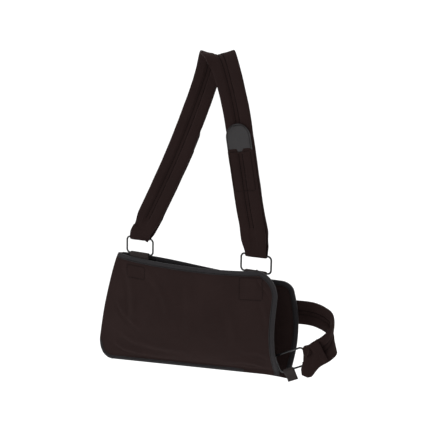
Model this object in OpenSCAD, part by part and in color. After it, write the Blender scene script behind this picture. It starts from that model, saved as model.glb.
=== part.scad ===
// Arm sling: a cloth pouch for the forearm, hung from a padded neck strap by two wire
// rings, with a padded waist strap looped through a third ring at the hand end.
// The origin is where the neck strap rests on the shoulder: its lower face at the crest.
// +X runs from elbow to hand, +Y towards the wearer, +Z up.

/* [Neck strap] */
// Width of the padded neck strap
strap_w = 55; // [50:1:58]
// Thickness of the strap over its foam
strap_t = 8; // [7:0.5:9]
// Thickness of the folded-back ends that lie on the strap
leaf_t = 4.96; // [4:0.02:6]
// Width of the flat valley between the two padded channels
valley_w = 9; // [7:1:11]
// Width of the grey hook tape at a strap end
hook_w = 50; // [44:1:52]

/* [Pouch] */
// Thickness of the pouch cloth
cloth_t = 2.4; // [1.8:0.2:2.6]
// Height of the pouch from bottom seam to top edge
pouch_h = 200; // [190:1:206]
// How far the front of the pouch bulges
front_bulge = 22; // [14:1:26]
// How far the back of the pouch stands off at the mouth
back_bulge = 26; // [18:1:28]
// Width of the binding tape on the edges
binding_w = 10.5; // [8:0.5:12]

/* [Rings] */
// Diameter of the ring wire
wire_d = 3.5; // [3:0.1:3.6]
// Centre-line length of a ring
ring_w = 62; // [58:1:64]
// Centre-line height of a ring, bar to bar
ring_h = 31.5; // [30:0.5:32]
// Centre-line radius of the ring corners
ring_r = 7; // [5:1:9]
// Width of the webbing tabs that hold the neck strap rings
tab_w = 44; // [36:1:46]
// Thickness of the webbing
web_t = 1.6; // [1.2:0.1:1.8]

/* [Waist strap] */
// Width of the waist strap
waist_w = 46; // [40:1:48]
// Thickness of the waist strap over its foam
waist_t = 7; // [6:0.5:8]
// Width of the tab that holds the waist ring
waist_tab_w = 21; // [16:1:21]

/* [Hidden] */

// Ring places. The two neck strap rings hang on one line, lower at the wrist.
wrist_ring_at = [79, 0, -366];
elbow_ring_at = [-180, 0, -360];
ring_line_tilt = atan((elbow_ring_at[2] - wrist_ring_at[2]) / (wrist_ring_at[0] - elbow_ring_at[0]));
waist_ring_at = [155, -4, -532];
waist_ring_tilt = -25;

wire_r = wire_d / 2;
// Clear gap between ring wire and what loops round it
wire_gap = 0.3;
// Gap between layers that lie on each other
layer_gap = 0.5;
// Thickness of a strap where it turns round a ring, past the end of its foam
turn_t = 3;
turn_r = wire_r + wire_gap;
turn_mid = turn_r + turn_t / 2;
turn_leg = 12;
turn_w = 46;
// The waist strap narrows towards its ring and is bunched where it turns round it
waist_foot_w = 40;
waist_turn_w = 20;
// Wall of a strap's cover round its foam
cover_t = 0.98;
foam_gap = 0.25;

// Centre line of the neck strap from the wrist ring over the shoulder to the elbow ring
neck_route = [[79, 7.2, -334], [71, -5, -270], [61, -15, -180], [50, -22, -95], [37, -26, -38],
    [20, -18.7, -4], [-3, 0, strap_t / 2], [-26, 18.7, -4], [-43, 26, -38],
    [-65, 23, -95], [-101, 16, -180], [-141, 5, -266], [-168.5, -7.2, -327]];
// Centre line of the waist strap's loop past the hand end, from the back to the ring
waist_loop = [[150, 63, -462], [183, 54, -463], [211, 36, -468], [225, 14, -480],
    [223, -1, -496], [209, -2, -511], [192.5, 2.4, -524]];

step_n = 4;
waist_step_n = 6;
dense_n = 5;

function mix(a, b, t) = a + (b - a) * t;
function clamp(t) = max(0, min(1, t));
function smooth(t) = let (c = clamp(t)) c * c * (3 - 2 * c);
function unit(v) = v / norm(v);

// A smooth curve through hand-chosen points, n steps between each two
function curve_at(a, b, c, d, t) =
    0.5 * (2 * b + (c - a) * t + (2 * a - 5 * b + 4 * c - d) * t * t
    + (3 * b - a - 3 * c + d) * t * t * t);
function curve(p, n) = let (m = len(p) - 1)
    [for (i = [0 : m * n]) let (k = min(floor(i / n), m - 1), t = i / n - k)
        curve_at(p[max(k - 1, 0)], p[k], p[k + 1], p[min(k + 2, m)], t)];
function along(path, i) = unit(path[min(i + 1, len(path) - 1)] - path[max(i - 1, 0)]);
// Width direction of a strap: the reference direction, squared to the path
function across(path, i, ref) = let (t = along(path, i)) unit(ref - (ref * t) * t);

// Rings of points along a path. size(i) scales the section's width and thickness.
function band(path, section, ref, wide, thick) = [for (i = [0 : len(path) - 1])
    let (w = across(path, i, ref), n = cross(along(path, i), w))
    [for (s = section) path[i] + w * s[0] * wide[i] + n * s[1] * thick[i]]];
function ones(path) = [for (p = path) 1];
function shifted(path, ref, d) = [for (i = [0 : len(path) - 1])
    path[i] + cross(along(path, i), across(path, i, ref)) * d];
function slice(v, a, b) = [for (i = [a : b]) v[i]];

// A closed solid through rings of points, with flat ends
module tube(rings) {
    m = len(rings[0]);
    n = len(rings);
    polyhedron(
        points = [for (r = rings) each r],
        faces = concat(
            [[for (j = [0 : m - 1]) j]],
            [for (i = [0 : n - 2], j = [0 : m - 1]) let (a = i * m + j, b = i * m + (j + 1) % m)
                each [[a, b + m, b], [a, a + m, b + m]]],
            [[for (j = [m - 1 : -1 : 0]) (n - 1) * m + j]]),
        convexity = 10);
}

// Section of one cloth layer of a strap, humped over its two foam strips. side is 1 for
// the lining, which faces the inside of the loop, and -1 for the face.
function layer_section(w, t, side) = let (p = layer_points(w, t), n = len(p) - 1)
    side < 0 ? [for (q = p) [q[0], -q[1]]] : [for (i = [n : -1 : 0]) p[i]];
function layer_points(w, t) = let (v = valley_w / 2, a = w / 2, c = cover_t)
    concat(
        [for (s = [[-a, 0.1], [-a + 2, 0.35 * t], [-a + 6, 0.5 * t], [-v - 4, 0.5 * t], [-v, 0.2 * t],
            [v, 0.2 * t], [v + 4, 0.5 * t], [a - 6, 0.5 * t], [a - 2, 0.35 * t], [a, 0.1]]) s],
        [for (s = [[a - 1.6, 0.1], [a - 3, 0.35 * t - c], [a - 6.6, 0.5 * t - c], [v + 4.6, 0.5 * t - c],
            [v + 0.6, 0.2 * t - 0.7 * c], [-v - 0.6, 0.2 * t - 0.7 * c], [-v - 4.6, 0.5 * t - c],
            [-a + 6.6, 0.5 * t - c], [-a + 3, 0.35 * t - c], [-a + 1.6, 0.1]]) s]);
// Section of the foam strip in one channel; side is -1 or 1
function foam_section(w, t, side) = strip(valley_w / 2 + 3, w / 2 - 4, t / 2 - cover_t - foam_gap, side);
// Section of the thinner strip in a folded-back end
function end_foam_section(w, side) = strip(valley_w / 2 + 5, w / 2 - 7, 0.8, side);
function strip(v, a, h, side) = let (m = side * (v + a) / 2, b = (a - v) / 2)
    [[m - b, -h / 2], [m - b + 2, -h], [m + b - 2, -h], [m + b, -h / 2],
        [m + b, h / 2], [m + b - 2, h], [m - b + 2, h], [m - b, h / 2]];

// Section of a strap end that is pressed flat
function flat_section(w, t) = let (a = w / 2)
    [[-a, -t / 4], [-a + 2, -t / 2], [a - 2, -t / 2], [a, -t / 4], [a, t / 4], [a - 2, t / 2], [-a + 2, t / 2],
        [-a, t / 4]];

// A strap's turn round a ring bar that lies along X: a U open upwards, at the origin
module strap_turn(w, front_leg, back_leg) {
    rotate([90, 0, 90]) translate([0, 0, -w / 2]) linear_extrude(w) difference() {
        union() {
            circle(r = turn_r + turn_t, $fn = 48);
            translate([turn_r, 0]) square([turn_t, back_leg]);
            translate([-turn_r - turn_t, 0]) square([turn_t, front_leg]);
        }
        circle(r = turn_r, $fn = 48);
        translate([-turn_r, 0]) square([2 * turn_r, turn_r + turn_t + 1]);
    }
}

// A ring of round wire with its bars along X, centred on the origin in the XZ plane
module wire_ring() {
    x = ring_w / 2 - ring_r;
    z = ring_h / 2 - ring_r;
    for (s = [-1, 1]) {
        translate([-x, 0, s * ring_h / 2]) rotate([0, 90, 0]) cylinder(h = 2 * x, r = wire_r, $fn = 32);
        translate([s * ring_w / 2, 0, -z]) cylinder(h = 2 * z, r = wire_r, $fn = 32);
    }
    for (q = [0 : 3])
        translate([(q == 0 || q == 3 ? x : -x), 0, (q < 2 ? z : -z)])
            rotate([90, 0, 0]) rotate([0, 0, q * 90])
                rotate_extrude(angle = 90, $fn = 48) translate([ring_r, 0]) circle(r = wire_r, $fn = 32);
}

// Webbing folded over a ring bar along X at the origin, its legs meeting and hanging down.
// The legs lie off to one side, so that they hang behind the panel they are sewn to.
module web_tab(w, drop, side) {
    r = turn_r;
    ro = r + web_t;
    inner = -ro + 2 * web_t;
    rotate([90, 0, 90]) translate([0, 0, -w / 2]) linear_extrude(w) mirror([side > 0 ? 1 : 0, 0]) difference() {
        union() {
            circle(r = ro, $fn = 48);
            polygon([[-ro, 0], [0.8 * ro, -0.6 * ro], [inner, -ro - 7], [inner, -drop], [-ro, -drop]]);
        }
        circle(r = r, $fn = 48);
    }
}

// ---- Neck strap ----
neck_path = curve(neck_route, step_n);
neck_last = len(neck_path) - 1;
x_ref = [1, 0, 0];
// The strap narrows towards each ring
function neck_wide(i) = mix(turn_w / strap_w, 1, smooth(min(i, neck_last - i) / 3));
neck_widths = [for (i = [0 : neck_last]) neck_wide(i)];

module neck_layer(side)
    tube(band(neck_path, layer_section(strap_w, strap_t, side), x_ref, neck_widths, ones(neck_path)));
module neck_strap_face() color([0.11, 0.08, 0.08]) neck_layer(-1);
module neck_strap_lining() color([0.1, 0.07, 0.07]) {
    neck_layer(1);
    neck_turn(wrist_ring_at, ring_line_tilt, 0);
    neck_turn(elbow_ring_at, ring_line_tilt, 180);
}
// The bare end of the lining, turned round the upper bar of a neck ring
module neck_turn(at, tilt, spin) translate(at) rotate([0, tilt, 0]) rotate([0, 0, spin])
    translate([0, 0, ring_h / 2]) strap_turn(turn_w, 1.5, 13.2);
function foam_run(path, side) = let (part = slice(path, 4, len(path) - 5))
    band(part, foam_section(strap_w, strap_t, side), x_ref, ones(part), ones(part));
module neck_foam_left() color([0.75, 0.72, 0.6]) tube(foam_run(neck_path, -1));
module neck_foam_right() color([0.75, 0.72, 0.6]) tube(foam_run(neck_path, 1));

// ---- Strap ends folded back up the strap, with hook tape ----
// A folded end's centre line, from its turn at the ring up the outside of the strap
leaf_off = strap_t / 2 + layer_gap + leaf_t / 2;
function leaf_path(start, path, first, last, dir) =
    concat([start], [for (i = [first : dir : last])
        path[i] - cross(along(path, i), across(path, i, x_ref)) * leaf_off]);
front_leaf = leaf_path([wrist_ring_at[0], -turn_mid - 0.5, wrist_ring_at[2] + ring_h / 2 + 8],
    neck_path, 2, 9, 1);
front_hook = leaf_path([0, 0, 0], neck_path, 9, 11, 1);
rear_leaf = leaf_path([elbow_ring_at[0] + 7, turn_mid + 0.9, elbow_ring_at[2] + ring_h / 2 + 17],
    neck_path, neck_last - 2, neck_last - 9, -1);
rear_hook = leaf_path([0, 0, 0], neck_path, neck_last - 9, neck_last - 11, -1);
function leaf_wide(path) = [for (i = [0 : len(path) - 1]) mix(0.84, 1, smooth(i / 2))];
function leaf_thick(path) = [for (i = [0 : len(path) - 1]) mix(0.56, 1, smooth(i / 2))];

// The cloth of a strap end, open towards the strap; side is the side it faces
module leaf(path, side)
    tube(band(path, layer_section(strap_w - 2, 2 * leaf_t - 1, side), x_ref, leaf_wide(path), leaf_thick(path)));
function leaf_foam_run(path, side) = let (part = slice(path, 3, len(path) - 2))
    band(part, end_foam_section(strap_w - 2, side), x_ref, ones(part), ones(part));
// Hook tape with a round end, tapering along the last steps of its path
module hook_tab(path) {
    fine = curve(slice(path, 1, len(path) - 1), dense_n);
    n = len(fine) - 1;
    h = hook_w / 2;
    widths = [for (i = [0 : n]) let (d = norm(fine[n] - fine[i]))
        d >= h ? 1 : max(0.12, sqrt(max(0, 1 - pow(1 - d / h, 2))))];
    flat = [[-h, -1], [h, -1], [h, 1], [-h, 1]];
    tube(band(fine, flat, x_ref, widths, ones(fine)));
}
module front_strap_end() color([0.12, 0.09, 0.09]) leaf(shifted(front_leaf, x_ref, leaf_t / 2), -1);
module rear_strap_end() color([0.12, 0.09, 0.09]) leaf(shifted(rear_leaf, x_ref, -leaf_t / 2), 1);
module front_end_foam() color([0.75, 0.72, 0.6])
    for (side = [-1, 1]) tube(leaf_foam_run(front_leaf, side));
module rear_end_foam() color([0.75, 0.72, 0.6])
    for (side = [-1, 1]) tube(leaf_foam_run(rear_leaf, side));
module front_hook_tab() color([0.22, 0.21, 0.22]) hook_tab(front_hook);
module rear_hook_tab() color([0.22, 0.21, 0.22]) hook_tab(rear_hook);

// ---- Pouch panels ----
// u runs from the elbow (0) to the hand (1), v from the bottom seam (0) to the top edge (1).
elbow_top_x = -226;
elbow_bottom_x = -290;
hand_x = 130;
seam_low_z = -598;
seam_rise = 0.085;
elbow_round = 40;
hand_round = 50;
back_round = 20;
top_y = 6.2;
panel_nu = 20;
panel_nv = 12;

// How far a corner of the given radius cuts in at a height h above (or below) the corner
function cut_in(h, r) = h >= r ? 0 : r - sqrt(max(0, r * r - (r - h) * (r - h)));
function edge_left(v) = elbow_top_x + (elbow_bottom_x - elbow_top_x) * pow(1 - v, 0.8)
    + cut_in(v * pouch_h, elbow_round);
function seam_z(x) = seam_low_z + (x - (elbow_bottom_x + elbow_round)) * seam_rise;
function bulge(v) = pow(max(0, sin(180 * pow(max(0, v - 0.05) / 0.95, 0.62))), 1.2);

function front_x(u, v) = mix(edge_left(v), hand_x - cut_in((1 - v) * pouch_h, hand_round), u);
function front_top_z(x) = let (t = clamp((x - elbow_top_x) / 310)) -378 - 10 * pow(sin(180 * t), 0.6);
function front_y(u, v) = -mix(1.7, top_y, smooth((v - 0.06) / 0.5))
    - front_bulge * bulge(v) * smooth(u / 0.5 + 0.12) - 4 * pow(u, 6) * (1 - smooth(v / 0.2));
function front_at(u, v) = let (x = front_x(u, v)) [x, front_y(u, v), mix(seam_z(x), front_top_z(x), v)];

function back_x(u, v) = mix(edge_left(v), hand_x + 12 - 9 * v + 10 * (1 - smooth(v / 0.12)) - cut_in((1 - v) * pouch_h, back_round), u);
function back_y(u, v) = mix(1.7, 5, smooth((v - 0.06) / 0.3)) + pow(u, 0.8) *
    (smooth(v / 0.12) * (4 + 27 * sqrt(v) + back_bulge * sin(180 * v)) + 4 * pow(u, 6) * (1 - smooth(v / 0.12)));
function back_at(u, v) = let (x = back_x(u, v))
    [x, back_y(u, v), mix(seam_z(x) - 8 * pow(u, 8), mix(-379, -402, smooth(u)), v)];

// A panel of even thickness, from its middle surface
module panel(front) {
    h = cloth_t / 2;
    function at(i, j) = let (u = i / panel_nu, v = (1 - cos(180 * j / panel_nv)) / 2) front ? front_at(u, v) : back_at(u, v);
    nu = panel_nu + 1;
    nv = panel_nv + 1;
    low = [for (i = [0 : nu - 1], j = [0 : nv - 1]) at(i, j) - [0, h, 0]];
    high = [for (i = [0 : nu - 1], j = [0 : nv - 1]) at(i, j) + [0, h, 0]];
    n = nu * nv;
    rim = concat([for (i = [0 : nu - 1]) i * nv], [for (j = [1 : nv - 1]) (nu - 1) * nv + j],
        [for (i = [nu - 2 : -1 : 0]) i * nv + nv - 1], [for (j = [nv - 2 : -1 : 1]) j]);
    m = len(rim);
    polyhedron(points = concat(low, high), faces = concat(
        [for (i = [0 : nu - 2], j = [0 : nv - 2]) let (a = i * nv + j, b = a + nv)
            each [[a, a + 1, b + 1], [a, b + 1, b], [n + a, n + b + 1, n + a + 1], [n + a, n + b, n + b + 1]]],
        [for (k = [0 : m - 1]) let (a = rim[k], b = rim[(k + 1) % m])
            each [[a, b, n + b], [a, n + b, n + a]]]), convexity = 10);
}
module front_panel() color([0.16, 0.12, 0.12]) panel(true);
module back_panel() color([0.14, 0.1, 0.1]) panel(false);

// ---- Binding tape ----
// A U of tape round an edge; rim is the edge's route, slot the gap for the cloth
module binding(rim, slot, wall) {
    n = len(rim) - 1;
    s = slot / 2;
    o = s + wall;
    flat = [[-binding_w, -o], [0.3 - binding_w, -s], [-0.4, -s], [-0.4, s],
        [0.3 - binding_w, s], [-binding_w, o], [wall, o], [wall, -o]];
    tube([for (i = [0 : n]) let (t = along(rim, i), out = unit([-t[2], 0, t[0]]))
        [for (f = flat) rim[i] + out * f[0] + [0, f[1], 0]]]);
}
front_rim = concat([for (i = [0 : 24]) front_at(i / 24, 1)],
    [for (j = [1 : 16]) front_at(1, 1 - pow(j / 16, 1.3))]);
back_rim = concat([for (i = [0 : 24]) back_at(pow(i / 24, 0.9), 1)],
    [for (j = [1 : 16]) back_at(1, 1 - pow(j / 16, 2))]);
module front_binding() color([0.2, 0.19, 0.2]) binding(front_rim, cloth_t + 0.2, 0.9);
module back_binding() color([0.2, 0.19, 0.2]) binding(back_rim, cloth_t + 0.2, 0.9);
// The bottom seam's tape, round the lower elbow corner and along to the hand end
function seam_mid(u, v) = let (a = front_at(u, v)) [a[0], 0, a[2]];
bottom_rim = concat([for (j = [0 : 5]) seam_mid(0, 0.22 * pow((5 - j) / 5, 1.6))],
    [for (i = [1 : 18]) seam_mid(i / 18 * 0.97, 0)]);
module bottom_binding() color([0.19, 0.18, 0.19]) {
    n = len(bottom_rim) - 1;
    tube([for (i = [0 : n]) let (t = along(bottom_rim, i), out = unit([t[2], 0, -t[0]]))
        [for (f = [[2.4, -3.6], [3, 0], [2.4, 3.6], [-0.5, 4.4], [-0.5, -4.4]]) bottom_rim[i] + out * f[0] + [0, f[1], 0]]]);
}

// ---- Ring tabs ----
module wrist_ring_tab() color([0.14, 0.11, 0.11])
    translate(wrist_ring_at) rotate([0, ring_line_tilt, 0]) translate([0, 0, -ring_h / 2])
        web_tab(tab_w, 45, -1);
module elbow_ring_tab() color([0.14, 0.11, 0.11])
    translate(elbow_ring_at) rotate([0, ring_line_tilt, 0]) translate([0, 0, -ring_h / 2])
        web_tab(tab_w, 45, -1);
// The waist ring's tab holds the ring's lower bar, near its elbow-side end
waist_tab_shift = -13.2;
module waist_ring_tab() color([0.14, 0.11, 0.11])
    translate(waist_ring_at) rotate([0, waist_ring_tilt, 0]) translate([waist_tab_shift, 0, -ring_h / 2])
        web_tab(waist_tab_w, 20, 1);

// ---- Rings ----
module wrist_ring() color([0.08, 0.08, 0.08])
    translate(wrist_ring_at) rotate([0, ring_line_tilt, 0]) wire_ring();
module elbow_ring() color([0.08, 0.08, 0.08])
    translate(elbow_ring_at) rotate([0, ring_line_tilt, 0]) wire_ring();
module waist_ring() color([0.08, 0.08, 0.08])
    translate(waist_ring_at) rotate([0, waist_ring_tilt, 0]) wire_ring();

// ---- Waist strap ----
z_ref = [0, 0, 1];
waist_back_off = cloth_t / 2 + waist_t / 2 + 0.8;
waist_z = -455;
// Behind the pouch the strap lies on the back panel, at about mid height
waist_back = [for (x = [-250, -190, -120, -40, 40, 105])
    let (u = (x - edge_left(0.6)) / (back_x(1, 0.6) - edge_left(0.6)), z = waist_z - 8 * (x + 250) / 360)
    [x, max(back_y(u, 0.55), back_y(u, 0.75), back_y(u, 0.65)) + waist_back_off, z]];
waist_path = curve(concat(waist_back, waist_loop), waist_step_n);
waist_last = len(waist_path) - 1;
waist_widths = [for (i = [0 : waist_last]) mix(waist_foot_w / waist_w, 1, smooth((waist_last - i) / 7))];
module waist_layer(side)
    tube(band(waist_path, layer_section(waist_w, waist_t, side), z_ref, waist_widths, ones(waist_path)));
module waist_strap_face() color([0.13, 0.1, 0.1]) waist_layer(-1);
module waist_strap_lining() color([0.12, 0.09, 0.09]) {
    waist_layer(1);
    // Its bare end, turned round the ring's hand-side end
    translate(waist_ring_at) rotate([0, waist_ring_tilt + 90, 0])
        translate([0, 0, ring_w / 2]) strap_turn(waist_turn_w, 0.5, 1.5);
}
function waist_foam_run(side) = let (part = slice(waist_path, 3, waist_last - 15))
    band(part, foam_section(waist_w - 2, waist_t - 0.4, side), z_ref, ones(part), ones(part));
module waist_foam_upper() color([0.75, 0.72, 0.6]) tube(waist_foam_run(1));
module waist_foam_lower() color([0.75, 0.72, 0.6]) tube(waist_foam_run(-1));

// The end folded back over the outside of the strap, which it leaves towards the ring
function waist_leaf_off(i) = waist_t / 2 + 3.6 * layer_gap + leaf_t / 2
    + 7 * (1 - smooth(i / 8)) + 3.6 * smooth((i - 2) / 5);
waist_end_path = [for (k = [1 : 10]) let (i = waist_last - k)
    waist_path[i] - cross(along(waist_path, i), across(waist_path, i, z_ref)) * waist_leaf_off(k)];
waist_end_last = len(waist_end_path) - 1;
waist_end_widths = [for (i = [0 : waist_end_last]) mix(waist_foot_w / waist_w, 1, smooth(i / 7))];
module waist_strap_end() color([0.15, 0.11, 0.11])
    tube(band(waist_end_path, flat_section(waist_w - 6, 3), z_ref, waist_end_widths, ones(waist_end_path)));
// The waist strap end's hook tape lies under it, against the strap
module waist_hook_tab() color([0.22, 0.21, 0.22]) {
    part = slice(waist_end_path, waist_end_last - 5, waist_end_last - 1);
    tube(band(shifted(part, z_ref, -2.4), [[-17, -0.3], [17, -0.3], [17, 0.3], [-17, 0.3]],
        z_ref, ones(part), ones(part)));
}

neck_strap_face();
neck_strap_lining();
neck_foam_left();
neck_foam_right();
front_strap_end();
front_end_foam();
front_hook_tab();
rear_strap_end();
rear_end_foam();
rear_hook_tab();
wrist_ring();
elbow_ring();
waist_ring();
front_panel();
back_panel();
front_binding();
back_binding();
bottom_binding();
wrist_ring_tab();
elbow_ring_tab();
waist_ring_tab();
waist_strap_face();
waist_strap_lining();
waist_foam_upper();
waist_foam_lower();
waist_strap_end();
waist_hook_tab();
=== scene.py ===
"""Arm sling: a cloth forearm pouch on a padded neck strap, with two wire rings, a padded
waist strap through a third ring, and strap ends folded back on grey hook tape."""
import math
import bpy
import numpy as np
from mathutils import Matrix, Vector, noise


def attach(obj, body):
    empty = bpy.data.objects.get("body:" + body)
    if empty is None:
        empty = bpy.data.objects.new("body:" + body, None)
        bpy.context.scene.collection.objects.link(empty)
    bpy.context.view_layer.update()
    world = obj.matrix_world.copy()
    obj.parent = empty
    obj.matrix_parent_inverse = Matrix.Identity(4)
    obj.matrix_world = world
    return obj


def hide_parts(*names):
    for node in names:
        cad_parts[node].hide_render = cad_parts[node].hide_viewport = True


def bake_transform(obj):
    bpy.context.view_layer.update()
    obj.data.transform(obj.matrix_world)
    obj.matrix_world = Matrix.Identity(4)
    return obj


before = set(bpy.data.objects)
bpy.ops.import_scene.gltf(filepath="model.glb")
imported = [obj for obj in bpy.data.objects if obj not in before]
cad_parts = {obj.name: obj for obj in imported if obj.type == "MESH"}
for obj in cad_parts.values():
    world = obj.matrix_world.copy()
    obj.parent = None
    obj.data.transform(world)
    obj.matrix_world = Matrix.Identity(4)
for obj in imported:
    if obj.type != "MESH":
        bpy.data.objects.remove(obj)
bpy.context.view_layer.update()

bl_info = {
    "name": "Arm sling",
    "version": (1, 0, 0),
    "blender": (4, 5, 0),
    "location": "View3D > Sidebar > Sling",
    "description": "Builds the cloth, straps, stitching and looks of an arm sling on its CAD frame",
    "category": "Object",
}

MM = 0.001
X_REF = np.array([1.0, 0.0, 0.0])
Z_REF = np.array([0.0, 0.0, 1.0])

# The routes and sizes below are the CAD model's own, in millimetres.
NECK_ROUTE = [(79, 7.2, -334), (71, -5, -270), (61, -15, -180), (50, -22, -95), (37, -26, -38),
              (20, -18.7, -4), (-3, 0, 4), (-26, 18.7, -4), (-43, 26, -38), (-65, 23, -95),
              (-101, 16, -180), (-141, 5, -266), (-168.5, -7.2, -327)]
WAIST_LOOP = [(150, 63, -462), (183, 54, -463), (211, 36, -468), (225, 14, -480),
              (223, -1, -496), (209, -2, -511), (192.5, 2.4, -524)]
WRIST_RING_AT = np.array([79.0, 0.0, -366.0])
ELBOW_RING_AT = np.array([-180.0, 0.0, -360.0])
WAIST_RING_AT = np.array([155.0, -4.0, -532.0])
WRIST_TILT, ELBOW_TILT, WAIST_TILT = 1.33, 1.33, -25.0
RING_W, RING_H = 62.0, 31.5
STRAP_W, STRAP_T, LEAF_T, VALLEY_W = 55.0, 8.0, 4.96, 9.0
TURN_W, TURN_T, TURN_MID = 46.0, 3.0, 3.55
WAIST_W, WAIST_T, WAIST_FOOT_W, WAIST_TURN_W = 46.0, 7.0, 40.0, 22.0
LEAF_OFF = STRAP_T / 2 + 0.5 + LEAF_T / 2
CLOTH_T, POUCH_H, FRONT_BULGE, BACK_BULGE = 2.4, 200.0, 22.0, 26.0
BINDING_W, WEB_T, TAB_W, WAIST_TAB_W = 10.5, 1.6, 44.0, 21.0
HOOK_W, WAIST_END_T = 50.0, 3.4
# Steps of the neck strap's curve where a folded end comes to lie on it, and where it stops
LEAF_STARTS, LEAF_ENDS = 22, 72
# Seams: how far each of the two rows in a strap's valley lies off its middle
SEAM_A = 3.6
# The box stitch of a folded end: half its width, and how far it stands off the cloth's middle
BOX_A, BOX_H = 21.5, 2.35


# ---- Settings ----

class SlingSizes(bpy.types.PropertyGroup):
    stitch: bpy.props.FloatProperty(name="Stitch length", description="Length of one stitch of the seams",
                                    default=0.0031, unit="LENGTH")
    thread: bpy.props.FloatProperty(name="Thread", description="Diameter of the sewing thread",
                                    default=0.0010, unit="LENGTH")
    pucker: bpy.props.FloatProperty(name="Pucker", description="How far strap cloth puckers beside its seams",
                                    default=0.00045, unit="LENGTH")
    crease: bpy.props.FloatProperty(name="Crease depth", description="Scale of the pouch cloth's creases",
                                    default=1.0, subtype="FACTOR")
    step: bpy.props.FloatProperty(name="Strap step", description="Spacing of the strap's sections",
                                  default=0.0022, unit="LENGTH")


class SlingColours(bpy.types.PropertyGroup):
    pouch: bpy.props.StringProperty(name="Pouch", description="Pouch cloth, sRGB hex", default="1f1615")
    strap: bpy.props.StringProperty(name="Strap", description="Strap cloth, sRGB hex", default="1b1211")
    binding: bpy.props.StringProperty(name="Binding", description="Binding tape, sRGB hex", default="181618")
    webbing: bpy.props.StringProperty(name="Webbing", description="Ring tabs, sRGB hex", default="1e1716")
    hook: bpy.props.StringProperty(name="Hook tape", description="Hook tape, sRGB hex", default="262425")
    wire: bpy.props.StringProperty(name="Wire", description="Ring coating, sRGB hex", default="101011")
    # Near-black thread: partly the thread's own dark colour, partly painted shade standing in for the
    # shadowed grooves along the seams
    thread: bpy.props.StringProperty(name="Thread", description="Sewing thread, sRGB hex", default="080504")
    floor: bpy.props.StringProperty(name="Floor", description="Floor, sRGB hex", default="fafafa")


# ---- Curves and sections ----

def unit(v):
    return v / np.maximum(np.linalg.norm(v, axis=-1, keepdims=True), 1e-12)


def smooth(t):
    c = np.clip(t, 0.0, 1.0)
    return c * c * (3 - 2 * c)


def mix(a, b, t):
    return a + (b - a) * t


def curve(points, n=32):
    """A smooth curve through points, n steps between each two."""
    p = np.array(points, float)
    m = len(p) - 1
    out = []
    for i in range(m * n + 1):
        k = min(i // n, m - 1)
        t = i / n - k
        a, b, c, d = p[max(k - 1, 0)], p[k], p[k + 1], p[min(k + 2, m)]
        out.append(0.5 * (2 * b + (c - a) * t + (2 * a - 5 * b + 4 * c - d) * t * t
                          + (3 * b - a - 3 * c + d) * t ** 3))
    return np.array(out)


def length_along(path):
    return np.concatenate([[0.0], np.cumsum(np.linalg.norm(np.diff(path, axis=0), axis=1))])


def evenly(path, step):
    """The path again, with points step apart."""
    s = length_along(path)
    n = max(2, int(round(s[-1] / step)) + 1)
    at = np.linspace(0, s[-1], n)
    return np.stack([np.interp(at, s, path[:, k]) for k in range(3)], axis=1)


def relaxed(path, rounds=2):
    """The path with its corners softened."""
    for _ in range(rounds):
        path = path.copy()
        path[1:-1] = 0.25 * path[:-2] + 0.5 * path[1:-1] + 0.25 * path[2:]
    return path


def frames(path, ref):
    """Tangent, width direction and normal at each point; the normal is the inside of the loop."""
    t = unit(np.gradient(path, axis=0))
    ref = np.broadcast_to(ref, t.shape)
    w = unit(ref - (ref * t).sum(1, keepdims=True) * t)
    return t, w, np.cross(t, w)


def wobble(values, scale, seed):
    """Smooth noise from -1 to 1 along a run of numbers; scale is its wavelength."""
    return np.array([noise.noise(Vector((float(v) / scale, seed * 7.31, seed * 1.7))) for v in values])


def mesh_object(name, points, faces, uvs=None, smooth_shade=True):
    """A mesh object from points in millimetres; uvs is one (u, v) in metres a point."""
    mesh = bpy.data.meshes.new(name)
    mesh.from_pydata([tuple(p) for p in np.asarray(points) * MM], [], faces)
    mesh.validate()
    if uvs is not None:
        layer = mesh.uv_layers.new(name="UVMap")
        index = np.zeros(len(mesh.loops), np.int32)
        mesh.loops.foreach_get("vertex_index", index)
        layer.data.foreach_set("uv", np.asarray(uvs, np.float32)[index].ravel())
    mesh.polygons.foreach_set("use_smooth", [smooth_shade] * len(mesh.polygons))
    mesh.update()
    obj = bpy.data.objects.new(name, mesh)
    bpy.context.scene.collection.objects.link(obj)
    return obj


def tube(rings, across, along):
    """Points, faces and uvs of a closed tube through rings of points, with flat ends."""
    n, m = len(rings), len(rings[0])
    points = np.concatenate(rings)
    faces = [(i * m + j, (i + 1) * m + j, (i + 1) * m + (j + 1) % m, i * m + (j + 1) % m)
             for i in range(n - 1) for j in range(m)]
    faces.append(tuple(range(m)))
    faces.append(tuple((n - 1) * m + j for j in range(m - 1, -1, -1)))
    uvs = np.stack([np.tile(np.asarray(across) * MM, n), np.repeat(np.asarray(along) * MM, m)], axis=1)
    return points, faces, uvs


def joined(parts):
    """Several (points, faces, uvs) as one."""
    points, faces, uvs, base = [], [], [], 0
    for p, f, u in parts:
        points.append(p)
        faces += [tuple(base + i for i in face) for face in f]
        uvs.append(u)
        base += len(p)
    return np.concatenate(points), faces, np.concatenate(uvs)


# ---- Padded straps ----

def pad_height(a, w, valley):
    """Half thickness, from 0 to 1, at a across a strap: two channels, a flat valley, round folded edges."""
    a = np.abs(a)
    edge = np.clip((w / 2 - a) / 7.0, 0, 1)
    rim = np.sqrt(np.clip(1 - (1 - edge) ** 2.3, 0, 1))
    hump = smooth((a - valley / 2 + 0.4) / 4.6)
    crown = 0.93 + 0.07 * np.cos(np.clip((a - (valley / 2 + w / 2) / 2) / (w / 4), -1, 1) * math.pi)
    return rim * mix(0.24, 1.0, hump) * np.where(hump > 0.5, crown, 1.0)


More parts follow.
